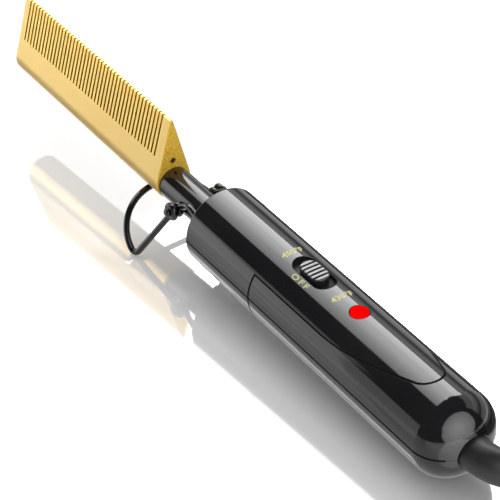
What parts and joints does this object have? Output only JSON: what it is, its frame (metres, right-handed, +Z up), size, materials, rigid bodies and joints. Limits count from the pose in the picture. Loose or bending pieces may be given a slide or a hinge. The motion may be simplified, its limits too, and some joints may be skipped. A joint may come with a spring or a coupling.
{
  "type": "electric hot comb",
  "caption": "Electric hot comb: heated metal comb head on a barrel tube, moulded handle with slide switch, pilot light and folding wire stand, with mains cord and plug.",
  "frame": {"origin": "on the surface that the tool stands on, under the middle of its length and width", "axes": "+X towards the comb's tip, +Y towards the tool's near side, +Z up"},
  "size_m": [0.4606, 0.0751, 0.0583],
  "materials": {
    "comb_gold": "fine blasted, gold plated",
    "black_paint": "gloss heat-resistant enamel",
    "black_wire": "gloss black",
    "black_matte": "matte",
    "handle_black": "high gloss",
    "knob_grey": "satin",
    "lens_red": "translucent red",
    "inner_steel": "zinc plated",
    "ceramic_white": "unglazed ceramic",
    "lead_white": "glass-fibre sleeving",
    "board_green": "solder mask",
    "capacitor_yellow": "matte",
    "cord_rubber": "matte",
    "boot_rubber": "matte",
    "blade_brass": "plain"
  },
  "bodies": {
    "handle": {"comb_head": "comb_gold", "barrel_tube": "black_paint", "stand_bracket": "black_wire", "nose_ring": "black_matte", "front_upper_cover": "handle_black", "front_lower_shell": "handle_black", "rear_upper_shell": "handle_black", "rear_lower_shell": "handle_black", "pilot_lens": "lens_red", "tube_clamp": "inner_steel", "heater_sleeve": "ceramic_white", "heater_rod": "ceramic_white", "heater_leads": "lead_white", "control_board": "board_green", "switch_body": "black_matte", "pilot_lamp": "lens_red", "triac": "black_matte", "capacitor": "capacitor_yellow", "thermal_fuse": "inner_steel", "mains_leads": "cord_rubber", "cord_clamp": "inner_steel", "clamp_screws": "inner_steel", "shell_screws": "inner_steel", "cord_boot": "boot_rubber", "mains_cord": "cord_rubber", "cord_hank": "cord_rubber", "cord_end": "cord_rubber", "cord_tie": "black_matte", "plug_body": "boot_rubber", "plug_blades": "blade_brass"},
    "switch": {"switch_knob": "knob_grey"},
    "stand": {"stand_wire": "black_wire"}
  },
  "joints": [
    {"name": "switch_slide", "type": "slide", "parent": "handle", "child": "switch", "axis": [0.999, 0, 0.0454], "range_m": [-0.0035, 0.0035]},
    {"name": "stand_fold", "type": "hinge", "parent": "handle", "child": "stand", "pos_m": [0.01979, 0, 0.02364], "axis": [0, 1, 0], "range_deg": [0, 125]}
  ]
}
